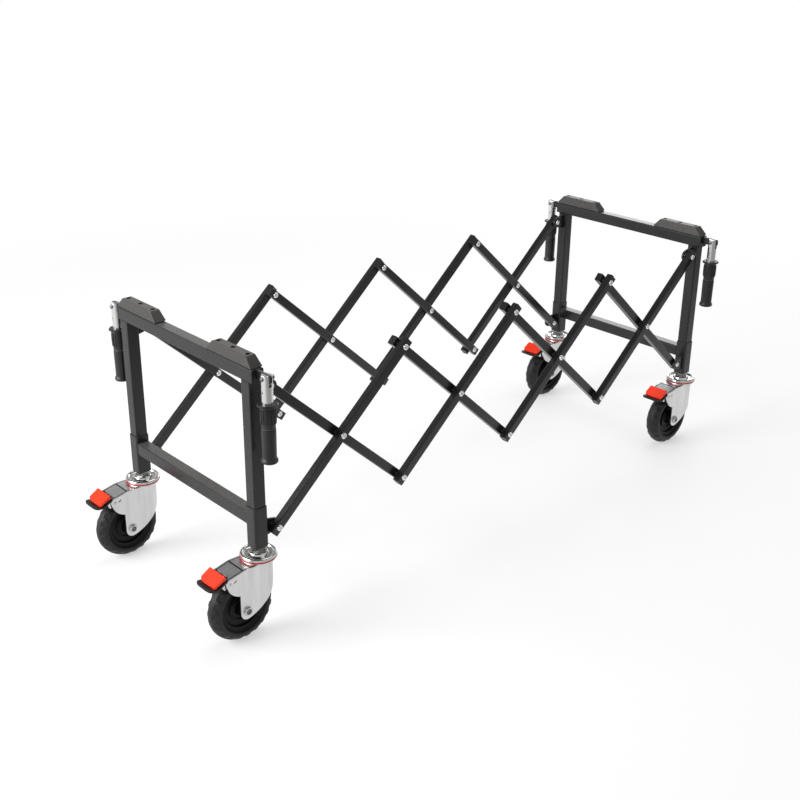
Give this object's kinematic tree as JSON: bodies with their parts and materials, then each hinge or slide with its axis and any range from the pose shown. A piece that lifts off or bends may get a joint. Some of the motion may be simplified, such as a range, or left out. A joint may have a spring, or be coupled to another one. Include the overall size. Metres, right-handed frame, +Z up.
{
  "type": "folding casket cart",
  "caption": "Folding scissor-lattice cart with padded end frames, hanging grip handles and braked swivel casters, for carrying a casket.",
  "frame": {"origin": "middle of the open cart's footprint, on the floor under the wheels", "axes": "+X along the cart from the front end to the rear end, +Y to the right side, +Z up"},
  "size_m": [1.4255, 0.5246, 0.536],
  "materials": {
    "frame_black": "semi-gloss black powder coat",
    "bar_black": "semi-gloss black powder coat",
    "zinc": "bright zinc plate",
    "bolt_zinc": "bright zinc plate",
    "pad_black": "satin moulded rubber",
    "grip_black": "satin moulded rubber",
    "tyre_black": "matt rubber",
    "hub_black": "satin moulded plastic",
    "seal_red": "satin moulded plastic",
    "pedal_black": "satin moulded plastic",
    "release_orange": "satin moulded plastic"
  },
  "bodies": {
    "front_base": {"front_sleeves": "frame_black", "front_lower_crossbar": "frame_black", "front_caster_stems": "zinc", "front_seal_rings": "seal_red"},
    "front_top": {"front_top_rail": "frame_black", "front_posts": "frame_black", "front_support_pads": "pad_black", "front_handle_hinges": "frame_black", "front_top_fasteners": "bolt_zinc"},
    "rear_base": {"rear_sleeves": "frame_black", "rear_lower_crossbar": "frame_black", "rear_caster_stems": "zinc", "rear_seal_rings": "seal_red", "rear_lower_pivot_bolts": "bolt_zinc"},
    "rear_top": {"rear_top_rail": "frame_black", "rear_posts": "frame_black", "rear_support_pads": "pad_black", "rear_handle_hinges": "frame_black", "rear_top_fasteners": "bolt_zinc"},
    "arm_a1": {"scissor_bars_a1": "bar_black", "pivot_bolts_a1": "bolt_zinc"},
    "arm_b1": {"scissor_bars_b1": "bar_black"},
    "arm_a2": {"scissor_bars_a2": "bar_black", "pivot_bolts_a2": "bolt_zinc"},
    "arm_b2": {"scissor_bars_b2": "bar_black"},
    "arm_a3": {"scissor_bars_a3": "bar_black", "pivot_bolts_a3": "bolt_zinc"},
    "arm_b3": {"scissor_bars_b3": "bar_black"},
    "arm_a4": {"scissor_bars_a4": "bar_black", "pivot_bolts_a4": "bolt_zinc"},
    "arm_b4": {"scissor_bars_b4": "bar_black"},
    "front_left_handle": {"front_left_handle_tube": "zinc", "front_left_handle_grip": "grip_black"},
    "front_left_caster": {"front_left_caster_fork": "zinc"},
    "front_left_wheel": {"front_left_caster_tyre": "tyre_black", "front_left_caster_hub": "hub_black"},
    "front_left_pedal": {"front_left_brake_pedal": "pedal_black"},
    "front_left_release": {"front_left_release_pedal": "release_orange"},
    "front_right_handle": {"front_right_handle_tube": "zinc", "front_right_handle_grip": "grip_black"},
    "front_right_caster": {"front_right_caster_fork": "zinc"},
    "front_right_wheel": {"front_right_caster_tyre": "tyre_black", "front_right_caster_hub": "hub_black"},
    "front_right_pedal": {"front_right_brake_pedal": "pedal_black"},
    "front_right_release": {"front_right_release_pedal": "release_orange"},
    "rear_left_handle": {"rear_left_handle_tube": "zinc", "rear_left_handle_grip": "grip_black"},
    "rear_left_caster": {"rear_left_caster_fork": "zinc"},
    "rear_left_wheel": {"rear_left_caster_tyre": "tyre_black", "rear_left_caster_hub": "hub_black"},
    "rear_left_pedal": {"rear_left_brake_pedal": "pedal_black"},
    "rear_left_release": {"rear_left_release_pedal": "release_orange"},
    "rear_right_handle": {"rear_right_handle_tube": "zinc", "rear_right_handle_grip": "grip_black"},
    "rear_right_caster": {"rear_right_caster_fork": "zinc"},
    "rear_right_wheel": {"rear_right_caster_tyre": "tyre_black", "rear_right_caster_hub": "hub_black"},
    "rear_right_pedal": {"rear_right_brake_pedal": "pedal_black"},
    "rear_right_release": {"rear_right_release_pedal": "release_orange"}
  },
  "joints": [
    {"name": "fold", "type": "hinge", "parent": "front_base", "child": "arm_a1", "pos_m": [-0.55625, 0, 0.202], "axis": [0, -1, 0], "range_deg": [0, 38]},
    {"name": "crossing_1", "type": "hinge", "parent": "arm_a1", "child": "arm_b1", "pos_m": [-0.40625, 0, 0.337], "axis": [0, -1, 0], "range_deg": [-76, 0]},
    {"name": "lower_pivot_1", "type": "hinge", "parent": "arm_b1", "child": "arm_a2", "pos_m": [-0.25625, 0, 0.202], "axis": [0, -1, 0], "range_deg": [0, 76]},
    {"name": "crossing_2", "type": "hinge", "parent": "arm_a2", "child": "arm_b2", "pos_m": [-0.10625, 0, 0.337], "axis": [0, -1, 0], "range_deg": [-76, 0]},
    {"name": "lower_pivot_2", "type": "hinge", "parent": "arm_b2", "child": "arm_a3", "pos_m": [0.04375, 0, 0.202], "axis": [0, -1, 0], "range_deg": [0, 76]},
    {"name": "crossing_3", "type": "hinge", "parent": "arm_a3", "child": "arm_b3", "pos_m": [0.19375, 0, 0.337], "axis": [0, -1, 0], "range_deg": [-76, 0]},
    {"name": "lower_pivot_3", "type": "hinge", "parent": "arm_b3", "child": "arm_a4", "pos_m": [0.34375, 0, 0.202], "axis": [0, -1, 0], "range_deg": [0, 76]},
    {"name": "crossing_4", "type": "hinge", "parent": "arm_a4", "child": "arm_b4", "pos_m": [0.49375, 0, 0.337], "axis": [0, -1, 0], "range_deg": [-76, 0]},
    {"name": "front_top_pivot", "type": "hinge", "parent": "arm_b1", "child": "front_top", "pos_m": [-0.55625, 0, 0.472], "axis": [0, -1, 0], "range_deg": [0, 38]},
    {"name": "rear_top_pivot", "type": "hinge", "parent": "arm_a4", "child": "rear_top", "pos_m": [0.64375, 0, 0.472], "axis": [0, -1, 0], "range_deg": [-38, 0]},
    {"name": "rear_lower_pivot", "type": "hinge", "parent": "arm_b4", "child": "rear_base", "pos_m": [0.64375, 0, 0.202], "axis": [0, -1, 0], "range_deg": [0, 38]},
    {"name": "front_left_handle_swing", "type": "hinge", "parent": "front_top", "child": "front_left_handle", "pos_m": [-0.59125, -0.244, 0.5075], "axis": [-1, 0, 0], "range_deg": [0, 90]},
    {"name": "front_left_swivel", "type": "hinge", "parent": "front_base", "child": "front_left_caster", "pos_m": [-0.59125, -0.198, 0.152], "axis": [0, 0, 1], "continuous": true},
    {"name": "front_left_roll", "type": "hinge", "parent": "front_left_caster", "child": "front_left_wheel", "pos_m": [-0.63625, -0.198, 0.0655], "axis": [0, 1, 0], "continuous": true},
    {"name": "front_left_brake", "type": "hinge", "parent": "front_left_caster", "child": "front_left_pedal", "pos_m": [-0.66925, -0.198, 0.133], "axis": [0, -1, 0], "range_deg": [0, 8]},
    {"name": "front_left_release", "type": "hinge", "parent": "front_left_caster", "child": "front_left_release", "pos_m": [-0.66925, -0.198, 0.133], "axis": [0, -1, 0], "range_deg": [-4.8, 0]},
    {"name": "front_right_handle_swing", "type": "hinge", "parent": "front_top", "child": "front_right_handle", "pos_m": [-0.59125, 0.244, 0.5075], "axis": [1, 0, 0], "range_deg": [0, 90]},
    {"name": "front_right_swivel", "type": "hinge", "parent": "front_base", "child": "front_right_caster", "pos_m": [-0.59125, 0.198, 0.152], "axis": [0, 0, 1], "continuous": true},
    {"name": "front_right_roll", "type": "hinge", "parent": "front_right_caster", "child": "front_right_wheel", "pos_m": [-0.63625, 0.198, 0.0655], "axis": [0, 1, 0], "continuous": true},
    {"name": "front_right_brake", "type": "hinge", "parent": "front_right_caster", "child": "front_right_pedal", "pos_m": [-0.66925, 0.198, 0.133], "axis": [0, -1, 0], "range_deg": [0, 8]},
    {"name": "front_right_release", "type": "hinge", "parent": "front_right_caster", "child": "front_right_release", "pos_m": [-0.66925, 0.198, 0.133], "axis": [0, -1, 0], "range_deg": [-4.8, 0]},
    {"name": "rear_left_handle_swing", "type": "hinge", "parent": "rear_top", "child": "rear_left_handle", "pos_m": [0.67875, -0.244, 0.5075], "axis": [-1, 0, 0], "range_deg": [0, 90]},
    {"name": "rear_left_swivel", "type": "hinge", "parent": "rear_base", "child": "rear_left_caster", "pos_m": [0.67875, -0.198, 0.152], "axis": [0, 0, 1], "continuous": true},
    {"name": "rear_left_roll", "type": "hinge", "parent": "rear_left_caster", "child": "rear_left_wheel", "pos_m": [0.63375, -0.198, 0.0655], "axis": [0, 1, 0], "continuous": true},
    {"name": "rear_left_brake", "type": "hinge", "parent": "rear_left_caster", "child": "rear_left_pedal", "pos_m": [0.60075, -0.198, 0.133], "axis": [0, -1, 0], "range_deg": [0, 8]},
    {"name": "rear_left_release", "type": "hinge", "parent": "rear_left_caster", "child": "rear_left_release", "pos_m": [0.60075, -0.198, 0.133], "axis": [0, -1, 0], "range_deg": [-4.8, 0]},
    {"name": "rear_right_handle_swing", "type": "hinge", "parent": "rear_top", "child": "rear_right_handle", "pos_m": [0.67875, 0.244, 0.5075], "axis": [1, 0, 0], "range_deg": [0, 90]},
    {"name": "rear_right_swivel", "type": "hinge", "parent": "rear_base", "child": "rear_right_caster", "pos_m": [0.67875, 0.198, 0.152], "axis": [0, 0, 1], "continuous": true},
    {"name": "rear_right_roll", "type": "hinge", "parent": "rear_right_caster", "child": "rear_right_wheel", "pos_m": [0.63375, 0.198, 0.0655], "axis": [0, 1, 0], "continuous": true},
    {"name": "rear_right_brake", "type": "hinge", "parent": "rear_right_caster", "child": "rear_right_pedal", "pos_m": [0.60075, 0.198, 0.133], "axis": [0, -1, 0], "range_deg": [0, 8]},
    {"name": "rear_right_release", "type": "hinge", "parent": "rear_right_caster", "child": "rear_right_release", "pos_m": [0.60075, 0.198, 0.133], "axis": [0, -1, 0], "range_deg": [-4.8, 0]}
  ],
  "couplings": [
    {"joint": "crossing_1", "follows": "fold", "ratio": -2},
    {"joint": "lower_pivot_1", "follows": "fold", "ratio": 2},
    {"joint": "crossing_2", "follows": "fold", "ratio": -2},
    {"joint": "lower_pivot_2", "follows": "fold", "ratio": 2},
    {"joint": "crossing_3", "follows": "fold", "ratio": -2},
    {"joint": "lower_pivot_3", "follows": "fold", "ratio": 2},
    {"joint": "crossing_4", "follows": "fold", "ratio": -2},
    {"joint": "front_top_pivot", "follows": "fold", "ratio": 1},
    {"joint": "rear_top_pivot", "follows": "fold", "ratio": -1},
    {"joint": "rear_lower_pivot", "follows": "fold", "ratio": 1},
    {"joint": "front_left_release", "follows": "front_left_brake", "ratio": -0.6},
    {"joint": "front_right_release", "follows": "front_right_brake", "ratio": -0.6},
    {"joint": "rear_left_release", "follows": "rear_left_brake", "ratio": -0.6},
    {"joint": "rear_right_release", "follows": "rear_right_brake", "ratio": -0.6}
  ]
}
